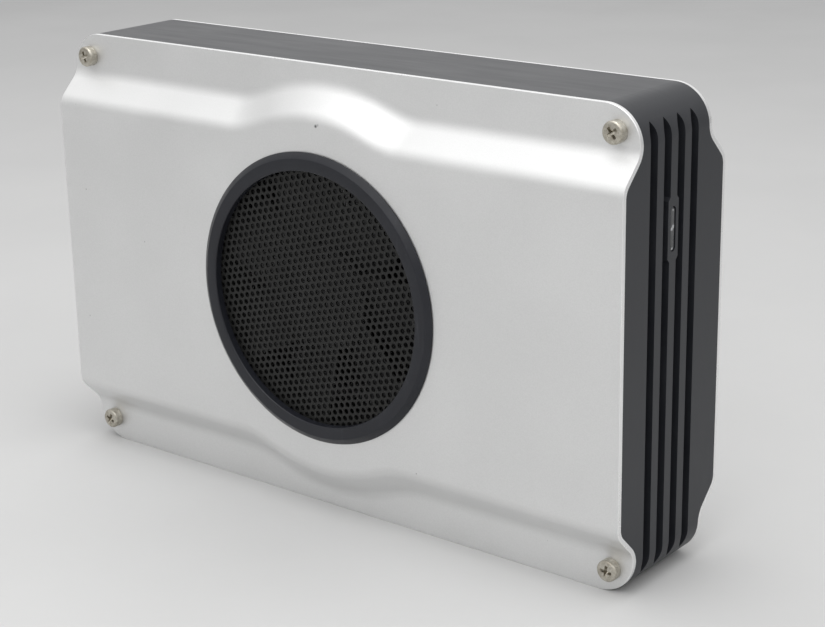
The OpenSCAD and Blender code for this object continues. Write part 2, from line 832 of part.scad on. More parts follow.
module drive_rail(inner_z, outer_z) {
    x = [-48, 86];
    pocket_l = 26;
    pocket_xs = [-10, 22, 54];
    head_r = 3.2;
    web = 3;
    up = outer_z > inner_z ? 1 : -1;
    low_z = min(inner_z, outer_z);
    height = abs(outer_z - inner_z);
    color([0.2, 0.2, 0.21]) difference() {
        block([x[0], rail_y[0], low_z], [x[1], rail_y[1], low_z + height]);
        for (hole_x = rail_hole_xs) translate([hole_x, rail_hole_y, inner_z]) {
            translate([0, 0, -over]) cylinder(h = 2 * over, r = unc_r + snug);
            translate([0, 0, up > 0 ? -over : -height - over])
                cylinder(h = height + 2 * over, r = unc_r + snug);
            translate([0, 0, up > 0 ? web : -height - over]) cylinder(h = height - web + over, r = head_r);
        }
        for (px = pocket_xs) block(
            [px - pocket_l / 2 + 3, rail_y[0] + 2, up > 0 ? inner_z + web : low_z - over],
            [px + pocket_l / 2 - 3, rail_y[1] - 2, up > 0 ? outer_z + over : inner_z - web]);
    }
}

module upper_drive_rail() {
    drive_rail(drive_z[1], case_top - side_wall - snug);
}

module lower_drive_rail() {
    drive_rail(drive_z[0], side_wall + snug);
}

module drive_rail_screws() {
    web = 3;
    head_r = 2.9;
    head_h = 2;
    shank_l = web + 4;
    color("silver") for (x = rail_hole_xs) {
        translate([x, rail_hole_y, drive_z[1] + web]) pan_screw(head_r, head_h, unc_r, shank_l);
        translate([x, rail_hole_y, drive_z[0] - web])
            mirror([0, 0, 1]) pan_screw(head_r, head_h, unc_r, shank_l);
    }
}

// ---------- Hard disk drive ----------

lid_screw_spots = [[-50, 20], [-50, 110], [16, 17.2], [16, 112.8], [87, 20], [87, 110]];

module drive_outline(inset) {
    w = drive_x[1] - drive_x[0] - 2 * inset;
    h = drive_z[1] - drive_z[0] - 2 * inset;
    translate([(drive_x[0] + drive_x[1]) / 2, mid_z]) rounded_plate(w, h, 3);
}

// Plan of the sealed space: the round disk well and the bay of the actuator
module disk_bay(inset = 0) {
    well_r = 48.6;
    bay_x = [-44, 8];
    bay_z = [21, 111.6];
    translate(spindle) circle(well_r - inset);
    translate([(bay_x[0] + bay_x[1]) / 2, (bay_z[0] + bay_z[1]) / 2])
        rounded_plate(bay_x[1] - bay_x[0] - 2 * inset, bay_z[1] - bay_z[0] - 2 * inset, 4);
}

module drive_base() {
    screw_hole_r = 1.1;
    screw_depth = 6;
    side_depth = 5;
    seat_r = 4;
    post_seat = 2;
    back_step = 0.6;
    color("gainsboro") difference() {
        union() {
            along_y(base_front_y, drive_y[1] - back_step) drive_outline(0);
            along_y(base_front_y, drive_y[1]) drive_outline(back_step);
        }
        along_y(base_front_y - over, bay_floor_y) disk_bay();
        block([drive_x[0] - over, pocket_y, pocket_z[0]], [75, drive_y[1] + over, pocket_z[1]]);
        for (at = lid_screw_spots) disc_y(at, screw_hole_r, base_front_y - over, base_front_y + screw_depth);
        for (x = rail_hole_xs, s = [0, 1])
            translate([x, rail_hole_y, s == 0 ? drive_z[0] - over : drive_z[1] - side_depth])
                cylinder(h = side_depth + over, r = unc_r);
        disc_y(spindle, seat_r, bay_floor_y - over, bay_floor_y + post_seat);
        disc_y(pivot, pivot_r, bay_floor_y - over, bay_floor_y + post_seat);
        for (at = board_screw_spots) disc_y(at, screw_hole_r, pocket_y - 2, pocket_y + over);
    }
    color("gainsboro") for (at = board_screw_spots)
        tube_y(at, 2.4, screw_hole_r, pocket_y - 0.01, drive_board_y);
}

module drive_lid() {
    screw_clear_r = 1.2;
    color("lightgray") difference() {
        along_y(drive_y[0], drive_y[0] + lid_t) drive_outline(0.3);
        for (at = lid_screw_spots) disc_y(at, screw_clear_r, drive_y[0] - over, drive_y[0] + lid_t + over);
    }
}

module drive_gasket() {
    screw_clear_r = 1.3;
    rim = 1;
    color("black") difference() {
        along_y(drive_y[0] + lid_t, base_front_y) drive_outline(0.6);
        along_y(drive_y[0], base_front_y + over) disk_bay(-rim / 2);
        for (at = lid_screw_spots) disc_y(at, screw_clear_r, drive_y[0], base_front_y + over);
    }
}

module drive_lid_screws() {
    color("silver") for (at = lid_screw_spots) screw_y(at, drive_y[0], -1, 2, 0.9, 1.05, 6);
}

module spindle_stator() {
    base_r = 11;
    sleeve_out = 4;
    shaft_hole_r = 2 + running;
    coil_r = [4.8, 9.6];
    tooth_w = 1.8;
    coil_w = 2.4;
    teeth = 9;
    y = [1.2, 6.4];
    color("peru") difference() {
        union() {
            disc_y(spindle, base_r, 6.6, bay_floor_y);
            disc_y(spindle, sleeve_out, -0.8, bay_floor_y + 2);
            for (i = [0 : teeth - 1]) translate([spindle[0], 0, spindle[1]]) rotate([0, i * 360 / teeth, 0]) {
                block([sleeve_out - 0.5, y[0] + 1, -tooth_w / 2], [coil_r[1] + 0.4, y[1] + 0.3, tooth_w / 2]);
                block([coil_r[0] + 1.6, y[0], -coil_w / 2], [coil_r[1], y[1] - 0.6, coil_w / 2]);
            }
        }
        disc_y(spindle, shaft_hole_r, -over - 1, bay_floor_y + 1.2);
    }
}

module spindle_hub() {
    cup_r = 11;
    flange = [3, 4.6];
    cap_t = 1.5;
    shaft_r = 2;
    skirt_y = 5.6;
    hole_r = 0.8;
    color("silver") difference() {
        union() {
            difference() {
                union() {
                    disc_y(spindle, hub_r, upper_platter_y, skirt_y);
                    disc_y(spindle, clamp_r, flange[0], flange[1]);
                }
                disc_y(spindle, cup_r, upper_platter_y + cap_t, skirt_y + over);
            }
            disc_y(spindle, shaft_r, upper_platter_y, bay_floor_y + 1);
        }
        for (a = [30 : 60 : 330]) disc_y(spindle + 8 * [cos(a), sin(a)], hole_r, upper_platter_y - over, 0);
    }
}

module platter(y) {
    color("lightsteelblue") tube_y(spindle, platter_r, hub_r + 0.05, y, y + platter_t);
}

module upper_platter() {
    platter(upper_platter_y);
}

module lower_platter() {
    platter(lower_platter_y);
}

module platter_spacer() {
    color("silver") tube_y(spindle, clamp_r, hub_r + 0.05, upper_platter_y + platter_t, lower_platter_y);
}

module disk_clamp() {
    clamp_t = 1;
    hole_r = 0.85;
    color("gray") difference() {
        disc_y(spindle, clamp_r, upper_platter_y - clamp_t, upper_platter_y);
        for (a = [30 : 60 : 330])
            disc_y(spindle + 8 * [cos(a), sin(a)], hole_r,
                   upper_platter_y - clamp_t - over, upper_platter_y + over);
    }
}

module disk_clamp_screws() {
    color("dimgray") for (a = [30 : 60 : 330])
        screw_y(spindle + 8 * [cos(a), sin(a)], upper_platter_y - 1, -1, 1.6, 0.6, 0.75, 2);
}

// Draws its children in the actuator's own plane: the arm points along +X from the pivot
module in_arm_plane() {
    translate(pivot) rotate(park_angle) children();
}

module actuator_arm() {
    body_r = 8.6;
    root_w = 13;
    tip_w = 5;
    tip_x = 36;
    window = [[14, -2.6], [14, 2.6], [29, 1.2], [29, -1.2]];
    body_y = [arm_levels[0], arm_levels[2] + arm_t];
    fork_y = [-1.2, 1.2];
    color("silver") difference() {
        union() {
            disc_y(pivot, body_r, body_y[0], body_y[1]);
            for (y = arm_levels) along_y(y, y + arm_t) in_arm_plane() difference() {
                polygon([[0, -root_w / 2], [tip_x, -tip_w / 2], [tip_x, tip_w / 2], [0, root_w / 2]]);
                polygon(window);
            }
            along_y(fork_y[0], fork_y[1]) in_arm_plane() for (s = [-1, 1]) rotate(180 + s * (coil_spread + 1))
                translate([body_r - over, -0.9]) square([coil_r[1] - body_r + over, 1.8]);
        }
        disc_y(pivot, sleeve_r, body_y[0] - over, body_y[1] + over);
    }
}

// Thin springs that carry the heads, one for each platter surface
module head_springs() {
    spring_t = 0.25;
    head_t = 0.35;
    root_x = 33;
    levels = [[-4.1, 1, -3.55], [-0.5, -1, -0.9], [0.6, 1, 0.85], [4.3, -1, 3.75]];
    tab_reach = 54;
    color("lightgray") for (l = levels) {
        arm_face = l[0];
        towards = l[1];
        y = l[2];
        head_y = towards > 0 ? y + spring_t : y - head_t;
        along_y(min(arm_face, y), max(arm_face, y + spring_t)) in_arm_plane()
            translate([root_x, -1.8]) square([3, 3.6]);
        along_y(y, y + spring_t) in_arm_plane()
            polygon([[root_x, -1.8], [head_reach, -0.8], [tab_reach, -0.3], [tab_reach, 0.3],
                     [head_reach, 0.8], [root_x, 1.8]]);
        along_y(head_y - 0.005, head_y + head_t) in_arm_plane()
            translate([head_reach - 0.6, -0.5]) square([1.2, 1]);
    }
}

module voice_coil() {
    inner = 4;
    color("orangered") along_y(-1.2, 1.2) in_arm_plane() rotate(180) difference() {
        sector(coil_r[0], coil_r[1], -coil_spread + 4.2, coil_spread - 4.2);
        sector(coil_r[0] + inner, coil_r[1] - inner, -coil_spread + 10, coil_spread - 10);
    }
}

module pivot_sleeve() {
    color("gray")
        tube_y(pivot, sleeve_r, pivot_r + running, arm_levels[0] - 0.4, arm_levels[2] + arm_t + 0.4);
}

module pivot_post() {
    color("silver") disc_y(pivot, pivot_r, drive_y[0] + lid_t + 0.2, bay_floor_y + 2);
}

// Plan of the magnets and yokes, which cover the coil's whole travel
module yoke_plan(r_in, r_out, spare) {
    intersection() {
        translate(pivot) sector(r_in, r_out, 180 + park_angle - coil_spread - spare,
                                180 + park_angle + coil_spread + 36 + spare);
        disk_bay(0.6);
    }
}

module voice_yokes() {
    color("dimgray") {
        along_y(-6.6, -4.6) yoke_plan(13.5, 32.5, 3);
        along_y(4.6, bay_floor_y) yoke_plan(13.5, 32.5, 3);
        for (a = [115, 140, 160]) disc_y(pivot + 29.1 * [cos(a), sin(a)], 1.8, -4.6, 4.6);
    }
}

module voice_magnets() {
    color("silver") {
        along_y(-4.6, -1.9) yoke_plan(14.5, 27, 0);
        along_y(1.9, 4.6) yoke_plan(14.5, 27, 0);
    }
}

// Comb that the tips of the head springs rest in while the drive is off
module parking_ramp() {
    reach = [52.2, 57];
    slot_t = 0.8;
    levels = [-3.55, -0.9, 0.85, 3.75];
    color("ivory") difference() {
        along_y(-5, bay_floor_y) translate(pivot) sector(reach[0], reach[1], park_angle - 4, park_angle + 3);
        for (y = levels) along_y(y + 0.125 - slot_t / 2, y + 0.125 + slot_t / 2)
            translate(pivot) circle(reach[0] + 2.6);
    }
}

module air_filter() {
    color("white") block([-42, -4, 25], [-36, bay_floor_y, 42]);
}

board_screw_spots = [[-46, 80], [-46, 102], [66, 28], [66, 102]];
drive_board_y = 15.4;

module drive_board() {
    notch = 2;
    color("darkgreen") difference() {
        block([-48, drive_board_y, pocket_z[0] + 0.4], [74.5, drive_board_y + 1.6, pocket_z[1] - 0.4]);
        for (at = board_screw_spots) disc_y(at, 1.3, drive_board_y - over, drive_board_y + 1.6 + over);
    }
}

module drive_board_parts() {
    chips = [[10, 60, 14, 14], [-14, 66, 9, 12], [-16, 84, 10, 8], [34, 40, 6, 6], [-34, 92, 5, 4]];
    chip_t = 1.4;
    color([0.15, 0.15, 0.16]) for (c = chips)
        block([c[0] - c[2] / 2, drive_board_y - chip_t, c[1] - c[3] / 2],
              [c[0] + c[2] / 2, drive_board_y, c[1] + c[3] / 2]);
}

module drive_board_screws() {
    color("silver") for (at = board_screw_spots) screw_y(at, drive_board_y + 1.6, 1, 1.9, 0.3, 1.05, 5);
}

// Plug at the end of the drive that goes into the socket on the bridge board
module drive_plug() {
    z = [27.2, 68.8];
    y = [11.6, drive_board_y];
    back_x = [-51.8, -48.2];
    front_x = -56.5;
    guide_t = 1.4;
    tongue_y = [13.2, 14.4];
    tongue_z = [30.2, 65.8];
    color([0.1, 0.1, 0.1]) {
        block([back_x[0], y[0], z[0]], [back_x[1], y[1], z[1]]);
        block([front_x, tongue_y[0], tongue_z[0]], [back_x[0] + over, tongue_y[1], tongue_z[1]]);
        for (z0 = [z[0], z[1] - guide_t]) block([front_x, y[0], z0], [back_x[0] + over, y[1], z0 + guide_t]);
    }
}

// ---------- Nodes ----------

middle_frame();
front_cover();
back_cover();
front_cover_screws();
back_cover_screws();
grille_ring();
grille_plate();
fan_gasket();
fan_studs();
fan_nuts();
fan_frame();
fan_stator();
fan_bearing();
fan_rotor();
fan_shaft();
fan_magnet();
fan_lead();
light_pipe();
light_board();
status_lights();
light_lead();
switch_housing();
switch_rocker();
switch_terminals();
switch_lead();
bridge_board();
bridge_board_parts();
bridge_board_screws();
usb_shell();
usb_insert();
power_jack();
power_jack_pin();
drive_socket();
upper_drive_rail();
lower_drive_rail();
drive_rail_screws();
drive_base();
drive_lid();
drive_gasket();
drive_lid_screws();
spindle_stator();
spindle_hub();
upper_platter();
lower_platter();
platter_spacer();
disk_clamp();
disk_clamp_screws();
actuator_arm();
head_springs();
voice_coil();
pivot_sleeve();
pivot_post();
voice_yokes();
voice_magnets();
parking_ramp();
air_filter();
drive_board();
drive_board_parts();
drive_board_screws();
drive_plug();
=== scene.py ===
"""External hard disk enclosure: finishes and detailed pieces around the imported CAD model."""

import json
import math

import bmesh
import bpy
import numpy as np
from mathutils import Matrix, Vector


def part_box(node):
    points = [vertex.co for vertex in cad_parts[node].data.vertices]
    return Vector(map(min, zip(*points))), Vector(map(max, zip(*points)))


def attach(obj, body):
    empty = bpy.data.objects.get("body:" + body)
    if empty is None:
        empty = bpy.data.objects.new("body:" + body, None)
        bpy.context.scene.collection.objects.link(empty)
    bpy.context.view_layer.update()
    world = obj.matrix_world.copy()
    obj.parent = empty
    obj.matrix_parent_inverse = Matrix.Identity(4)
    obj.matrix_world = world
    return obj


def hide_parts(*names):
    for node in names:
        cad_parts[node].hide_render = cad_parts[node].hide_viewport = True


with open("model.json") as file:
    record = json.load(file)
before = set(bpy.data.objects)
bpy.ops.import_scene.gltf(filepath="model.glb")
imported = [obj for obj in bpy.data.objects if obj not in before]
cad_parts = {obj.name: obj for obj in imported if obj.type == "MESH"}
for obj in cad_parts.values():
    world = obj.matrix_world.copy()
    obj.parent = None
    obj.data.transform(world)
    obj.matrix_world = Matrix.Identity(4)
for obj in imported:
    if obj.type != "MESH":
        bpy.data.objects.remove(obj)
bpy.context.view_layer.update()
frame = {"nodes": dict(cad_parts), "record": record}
nodes = frame["nodes"]
MM = 0.001

# ---------------------------------------------------------------- sizes, in mm
def box_mm(node):
    """Lowest and highest corner of a CAD node at rest."""
    return [[round(v / MM, 2) for v in corner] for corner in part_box(node)]


_, (HALF_L, PLATEAU_Y, HEIGHT) = box_mm("middle_frame")
(_, FLANGE_Y, _), (_, COVER_Y, _) = box_mm("back_cover")
MID_Z = HEIGHT / 2
CORNER_R = 10.5
SHEET = round(COVER_Y - PLATEAU_Y, 2)
RISE = PLATEAU_Y - FLANGE_Y
BEND_R = 5.5
SLOPE_SIN = math.sin(math.radians(45))
BEND_RUN = RISE / 2 + BEND_R * math.tan(math.radians(22.5))
BEND_MID = 15.8
BULGE_R = 55.4
BLEND = 3.0  # width over which the round swelling runs into the straight slope
HEAD_R = 3.0  # of the cover screws
SCREW_X = round(box_mm("front_cover_screws")[1][0] - HEAD_R, 2)
SCREW_ZS = (HALF_L - SCREW_X, HEIGHT - HALF_L + SCREW_X)
SCREW_HOLE_R = 1.7
GRILLE_HOLE_R = 40.0
SPINDLE = (40.5, MID_Z)  # axis of the disks, (x, z)


# ---------------------------------------------------------------- mesh helpers
def piece(name, verts, faces, slot, node, sharp=None):
    """A mesh piece on the enclosure, from points in mm, that stands for a CAD node.

    Its finish is the one for its slot. Edges over sharp degrees are left crisp.
    """
    mesh = bpy.data.meshes.new(name)
    mesh.from_pydata([tuple(c * MM for c in v) for v in verts], [], faces)
    mesh.validate()
    if sharp is not None:
        mesh.shade_smooth()
        mesh.set_sharp_from_angle(angle=math.radians(sharp))
    obj = bpy.data.objects.new(name, mesh)
    bpy.context.scene.collection.objects.link(obj)
    mesh.materials.append(FINISHES[slot])
    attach(obj, "enclosure")
    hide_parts(node)
    return obj


def rows_mesh(rows, closed=False):
    """Points and faces of a skin through rows of equally many points; each row is a loop."""
    width = len(rows[0])
    verts = [p for row in rows for p in row]
    faces = []
    for i in range(len(rows) if closed else len(rows) - 1):
        a, b = i * width, (i + 1) % len(rows) * width
        faces += [(a + k, a + (k + 1) % width, b + (k + 1) % width, b + k) for k in range(width)]
    return verts, faces


def closed_piece(name, verts, faces, slot, node, merge=0.001):
    """A piece whose points within merge mm are joined and whose faces all look outwards."""
    obj = piece(name, verts, faces, slot, node, sharp=40)
    b = bmesh.new()
    b.from_mesh(obj.data)
    bmesh.ops.remove_doubles(b, verts=b.verts, dist=merge * MM)
    bmesh.ops.recalc_face_normals(b, faces=b.faces)
    b.to_mesh(obj.data)
    b.free()


def arc(centre, r, start, end, steps):
    """Points (a, b) along an arc, angles in degrees."""
    return [(centre[0] + r * math.cos(t), centre[1] + r * math.sin(t))
            for t in np.radians(np.linspace(start, end, steps + 1))]


def turned_rows(profile, at, side, steps):
    """Loops of points turned about an axis along Y through at, (x, z), from a profile of (radius, y)."""
    turns = [2 * math.pi * k / steps for k in range(steps)]
    return [[(at[0] + r * math.cos(t), side * y, at[1] + r * math.sin(t)) for t in turns] for r, y in profile]


def smooth_max(a, b, width):
    """The larger of a and b, with the change between them rounded over width."""
    h = np.clip(0.5 + 0.5 * (a - b) / width, 0, 1)
    return b + (a - b) * h + width * h * (1 - h)


def slope_height(s, offset):
    """Height above the middle of the case at s inwards from the middle of the slope."""
    low_r, high_r = BEND_R + SHEET - offset, BEND_R - SHEET + offset
    t, u = s + BEND_RUN, BEND_RUN - s
    foot = FLANGE_Y + offset + low_r - np.sqrt(low_r**2 - np.clip(t, 0, low_r * SLOPE_SIN) ** 2)
    crest = PLATEAU_Y + offset - high_r + np.sqrt(high_r**2 - np.clip(u, 0, high_r * SLOPE_SIN) ** 2)
    straight = foot + (t - low_r * SLOPE_SIN)
    return np.where(t <= low_r * SLOPE_SIN, foot, np.where(u <= high_r * SLOPE_SIN, crest, straight))


def cover_height(x, z, offset, bulged):
    """Height of the cover's inner face (offset 0) or outer face (offset SHEET) at x, z."""
    s = (MID_Z - BEND_MID) - np.abs(z - MID_Z)
    if bulged:
        s = smooth_max(s, BULGE_R - np.hypot(x, z - MID_Z), BLEND)
    return slope_height(s, offset)


def cover_normals(x, z, offset, bulged, side):
    """Unit normals of the same faces, from differences over a short step e."""
    e = 0.02
    hx = (cover_height(x + e, z, offset, bulged) - cover_height(x - e, z, offset, bulged)) / (2 * e)
    hz = (cover_height(x, z + e, offset, bulged) - cover_height(x, z - e, offset, bulged)) / (2 * e)
    n = np.stack([-hx, np.ones_like(hx), -hz], 1)
    n /= np.linalg.norm(n, axis=1)[:, None]
    n[:, 1] *= side
    return n


def cover_grid(edge):
    """Points (x, z) and quads over the case outline, pulled in by edge.

    Rows lie closer where the sheet bends. Columns are 1 mm apart in the middle and end on the outline.
    """
    r = CORNER_R - edge
    bend_depth, bend_step, flat_rows = 23, 0.5, 31
    depths = [edge + r * (1 - math.sin(math.radians(a))) for a in np.linspace(90, 50, 9)]
    depths += list(np.arange(depths[-1] + bend_step, bend_depth, bend_step))
    depths += list(np.linspace(bend_depth, MID_Z, flat_rows))
    zs = depths + [HEIGHT - d for d in reversed(depths[:-1])]
    inner, side_columns = 62, 22
    points, quads = [], []
    for z in zs:
        d = min(z, HEIGHT - z)
        drop = max(0.0, CORNER_R - d)
        half = HALF_L - CORNER_R + math.sqrt(max(0.0, r * r - drop * drop))
        side = [inner + (half - inner) * k / side_columns for k in range(1, side_columns + 1)]
        xs = [-x for x in reversed(side)] + [float(x) for x in range(-inner, inner + 1)] + side
        points += [(x, z) for x in xs]
    width = len(xs)
    for j in range(len(zs) - 1):
        for i in range(width - 1):
            a = j * width + i
            quads.append((a, a + 1, a + width + 1, a + width))
    return np.array(points), quads


def punch(points, quads, centre, r, clear):
    """Opens a round hole: quads within clear of it go, and one ring joins what is left to the circle."""
    near = np.hypot(points[:, 0] - centre[0], points[:, 1] - centre[1]) < clear

    def bearing(i):
        return math.atan2(points[i][1] - centre[1], points[i][0] - centre[0])

    kept = [q for q in quads if not any(near[i] for i in q)]
    gone = [q for q in quads if any(near[i] for i in q)]
    edges = {(q[k], q[(k + 1) % 4]) for q in gone for k in range(4)}
    rim = [(a, b) for a, b in edges if (b, a) not in edges]
    circle, extra = {}, []
    for i in sorted({a for a, _ in rim}, key=bearing):
        a = bearing(i)
        circle[i] = len(points) + len(extra)
        extra.append((centre[0] + r * math.cos(a), centre[1] + r * math.sin(a)))
    for a, b in sorted(rim):
        kept.append((a, b, circle[b], circle[a]))
    return np.vstack([points, extra]), kept


def build_cover(name, side, bulged, node):
    """A pressed sheet cover, with both its faces, a rounded cut edge and its holes; side -1 is the front."""
    edge = 0.2
    points, quads = cover_grid(edge)
    holes = [((x, z), SCREW_HOLE_R, SCREW_HOLE_R + 1) for x in (-SCREW_X, SCREW_X) for z in SCREW_ZS]
    if bulged:
        holes.append(((0, MID_Z), GRILLE_HOLE_R, GRILLE_HOLE_R + 1.2))
    for centre, r, clear in holes:
        points, quads = punch(points, quads, centre, r, clear)
    used = sorted({i for q in quads for i in q})
    renumber = {i: k for k, i in enumerate(used)}
    points = points[used]
    quads = [tuple(renumber[i] for i in q) for q in quads]
    x, z = points[:, 0], points[:, 1]
    out_y = cover_height(x, z, SHEET, bulged)
    in_y = cover_height(x, z, 0, bulged)
    out_n = cover_normals(x, z, SHEET, bulged, side)
    in_n = -cover_normals(x, z, 0, bulged, side)
    count = len(points)
    verts = [(x[i], side * out_y[i], z[i]) for i in range(count)]
    verts += [(x[i], side * in_y[i], z[i]) for i in range(count)]
    normals = list(out_n) + list(in_n)
    faces, corner_normals, marks = [], [], []

    def face(ids, ns, mark):
        """Adds a face with a normal at each corner; mark 1 gives it the edge's finish."""
        if side > 0:
            ids, ns = ids[::-1], ns[::-1]
        faces.append(ids)
        corner_normals.extend(ns)
        marks.append(mark)

    for q in quads:
        face(list(q), [normals[i] for i in q], 0)
        face([i + count for i in reversed(q)], [normals[i + count] for i in reversed(q)], 0)
    edges = {(q[k], q[(k + 1) % 4]) for q in quads for k in range(4)}
    rim = sorted((a, b) for a, b in edges if (b, a) not in edges)
    outer = {a for a, _ in rim if all(math.dist(points[a], h[0]) > h[2] + 0.1 for h in holes)}
    facing = {}
    for i in {a for a, _ in rim}:
        if i in outer:
            cx = min(max(x[i], -HALF_L + CORNER_R), HALF_L - CORNER_R)
            cz = min(max(z[i], CORNER_R), HEIGHT - CORNER_R)
            away = np.array([x[i] - cx, 0, z[i] - cz])
        else:
            centre = min((h[0] for h in holes), key=lambda c: math.dist(points[i], c))
            away = np.array([centre[0] - x[i], 0, centre[1] - z[i]])
        facing[i] = away / np.linalg.norm(away)
    up = np.array([0, side, 0])
    rings = {}  # the three points of the rounded edge and the point below it, for each outer point
    for i in outer:
        base = np.array(verts[i])
        row = []
        for a in (30, 60, 90):
            s, c = math.sin(math.radians(a)), math.cos(math.radians(a))
            row.append((base + edge * (s * facing[i] - (1 - c) * up), s * facing[i] + c * up))
        foot = np.array(verts[i + count]) + edge * facing[i]
        row.append((foot, facing[i]))
        ids = []
        for p, n in row:
            ids.append(len(verts))
            verts.append(tuple(p))
            normals.append(n)
        rings[i] = ids
    for a, b in rim:
        if a in outer and b in outer:
            ids = [b, a, rings[a][0], rings[b][0]]
            face(ids, [normals[i] for i in ids], 1)
            for k in range(3):
                ids = [rings[b][k], rings[a][k], rings[a][k + 1], rings[b][k + 1]]
                face(ids, [normals[i] for i in ids], 1)
            face([rings[b][3], rings[a][3], a + count, b + count], [in_n[b], in_n[a], in_n[a], in_n[b]], 0)
        else:
            face([b, a, a + count, b + count], [facing[b], facing[a], facing[a], facing[b]], 1)
    mesh = piece(name, verts, faces, "cover_aluminium", node).data
    mesh.materials.append(EDGE_FINISH)
    mesh.polygons.foreach_set("material_index", marks)
    mesh.shade_smooth()
    mesh.normals_split_custom_set([Vector(n) for n in corner_normals])


# ---------------------------------------------------------------- materials
class Finish:
    """A Principled material built from texture nodes; what does not vary sits on the shader's own sockets."""

    def __init__(self, name, rough=0.5, metal=0.0, **fixed):
        self.material = bpy.data.materials.new(name)
        self.material.use_nodes = True
        self.tree = self.material.node_tree
        self.shader = self.tree.nodes["Principled BSDF"]
        self.shader.inputs["Roughness"].default_value = rough
        self.shader.inputs["Metallic"].default_value = metal
        for key, value in fixed.items():
            self.shader.inputs[key.replace("_", " ")].default_value = value
        self.coords = self.node("ShaderNodeTexCoord").outputs["Object"]

    def node(self, kind, **settings):
        n = self.tree.nodes.new(kind)
        for key, value in settings.items():
            setattr(n, key, value)
        return n

    def link(self, a, b):
        self.tree.links.new(a, b)

    def stretched(self, factors, turn=(0, 0, 0)):
        """Coordinates for a pattern that is drawn out along the axes with the small factors."""
        n = self.node("ShaderNodeMapping")
        n.inputs["Scale"].default_value = factors
        n.inputs["Rotation"].default_value = turn
        self.link(self.coords, n.inputs["Vector"])
        return n.outputs["Vector"]

    def noise(self, per_mm, detail=3.0, rough=0.55, vector=None, distortion=0.0):
        n = self.node("ShaderNodeTexNoise")
        n.inputs["Scale"].default_value = per_mm / MM
        n.inputs["Detail"].default_value = detail
        n.inputs["Roughness"].default_value = rough
        n.inputs["Distortion"].default_value = distortion
        self.link(vector or self.coords, n.inputs["Vector"])
        return n.outputs["Fac"]

    def cells(self, per_mm, feature="F1", vector=None, metric="EUCLIDEAN"):
        n = self.node("ShaderNodeTexVoronoi", feature=feature, distance=metric)
        n.inputs["Scale"].default_value = per_mm / MM
        self.link(vector or self.coords, n.inputs["Vector"])
        return n.outputs["Distance"]

    def remap(self, value, low, high, to_low=0.0, to_high=1.0):
        n = self.node("ShaderNodeMapRange")
        for key, v in (("From Min", low), ("From Max", high), ("To Min", to_low), ("To Max", to_high)):
            n.inputs[key].default_value = v
        self.link(value, n.inputs["Value"])
        return n.outputs["Result"]

    def math(self, operation, a, b):
        n = self.node("ShaderNodeMath", operation=operation)
        for k, v in enumerate((a, b)):
            if isinstance(v, (int, float)):
                n.inputs[k].default_value = v
            else:
                self.link(v, n.inputs[k])
        return n.outputs[0]

    def spot(self, place, outer, inner):
        """1 within inner mm of a place, falling to 0 at outer mm."""
        span = self.node("ShaderNodeVectorMath", operation="DISTANCE")
        self.link(self.coords, span.inputs[0])
        span.inputs[1].default_value = tuple(v * MM for v in place)
        return self.remap(span.outputs["Value"], outer * MM, inner * MM)

    def blend(self, factor, a, b):
        """Colour from a to b; the node's sockets for colours share their names, so they go by number."""
        n = self.node("ShaderNodeMix", data_type="RGBA")
        self.link(factor, n.inputs["Factor"])
        for key, v in ((6, a), (7, b)):
            if isinstance(v, tuple):
                n.inputs[key].default_value = (*v, 1)
            else:
                self.link(v, n.inputs[key])
        return n.outputs[2]

    def colour(self, value):
        self.link(value, self.shader.inputs["Base Color"])

    def roughness(self, value):
        self.link(value, self.shader.inputs["Roughness"])

    def relief(self, height, depth_mm):
        """Bumps that stand up to depth_mm."""
        n = self.node("ShaderNodeBump")
        n.inputs["Distance"].default_value = depth_mm * MM
        self.link(height, n.inputs["Height"])
        self.link(n.outputs["Normal"], self.shader.inputs["Normal"])


def tones(c, spread):
    """A darker and a lighter tone of a colour."""
    return tuple(v * (1 - spread) for v in c), tuple(min(1.0, v * (1 + spread)) for v in c)


def moulded(name, c, rough, grain, depth, spread=0.12, **fixed):
    """Moulded plastic or paint: cloudy tone, fine texture, faint handling marks."""
    f = Finish(name, rough, **fixed)
    dark, light = tones(c, spread)
    cloud = f.noise(0.06, 4)
    colour = f.blend(f.remap(cloud, 0.3, 0.7), dark, light)
    marks = f.noise(0.5, 5, 0.7, f.stretched((1, 1, 0.08), (0.2, 0.5, 0.1)))
    marks = f.remap(marks, 0.62, 0.75)
    f.colour(f.blend(marks, colour, tuple(min(1.0, v * 1.5 + 0.01) for v in c)))
    f.roughness(f.remap(f.noise(0.15, 4), 0.3, 0.7, rough - 0.06, rough + 0.08))
    f.relief(f.noise(grain, 2), depth)
    return f.material


def brushed(name, c, rough, along, per_mm, depth, spread=0.08):
    """Metal with fine lines along the axis that has the smallest factor, or an even grain if none has."""
    f = Finish(name, rough, 1.0)
    lines = f.noise(per_mm, 4, 0.6, f.stretched(along))
    dark, light = tones(c, spread)
    f.colour(f.blend(f.remap(lines, 0.3, 0.7), dark, light))
    f.roughness(f.remap(f.noise(0.1, 4), 0.3, 0.7, rough - 0.05, rough + 0.1))
    f.relief(lines, depth)
    return f.material


def cast(name, c, rough, per_mm, depth, metal=1.0):
    """Cast, sintered or felted surface: pitted, with a cloudy tone."""
    f = Finish(name, rough, metal)
    dark, light = tones(c, 0.12)
    f.colour(f.blend(f.remap(f.noise(0.12, 5, 0.65), 0.3, 0.7), dark, light))
    f.roughness(f.remap(f.noise(0.3, 3), 0.3, 0.7, rough - 0.08, rough + 0.08))
    f.relief(f.noise(per_mm, 4, 0.6), depth)
    return f.material


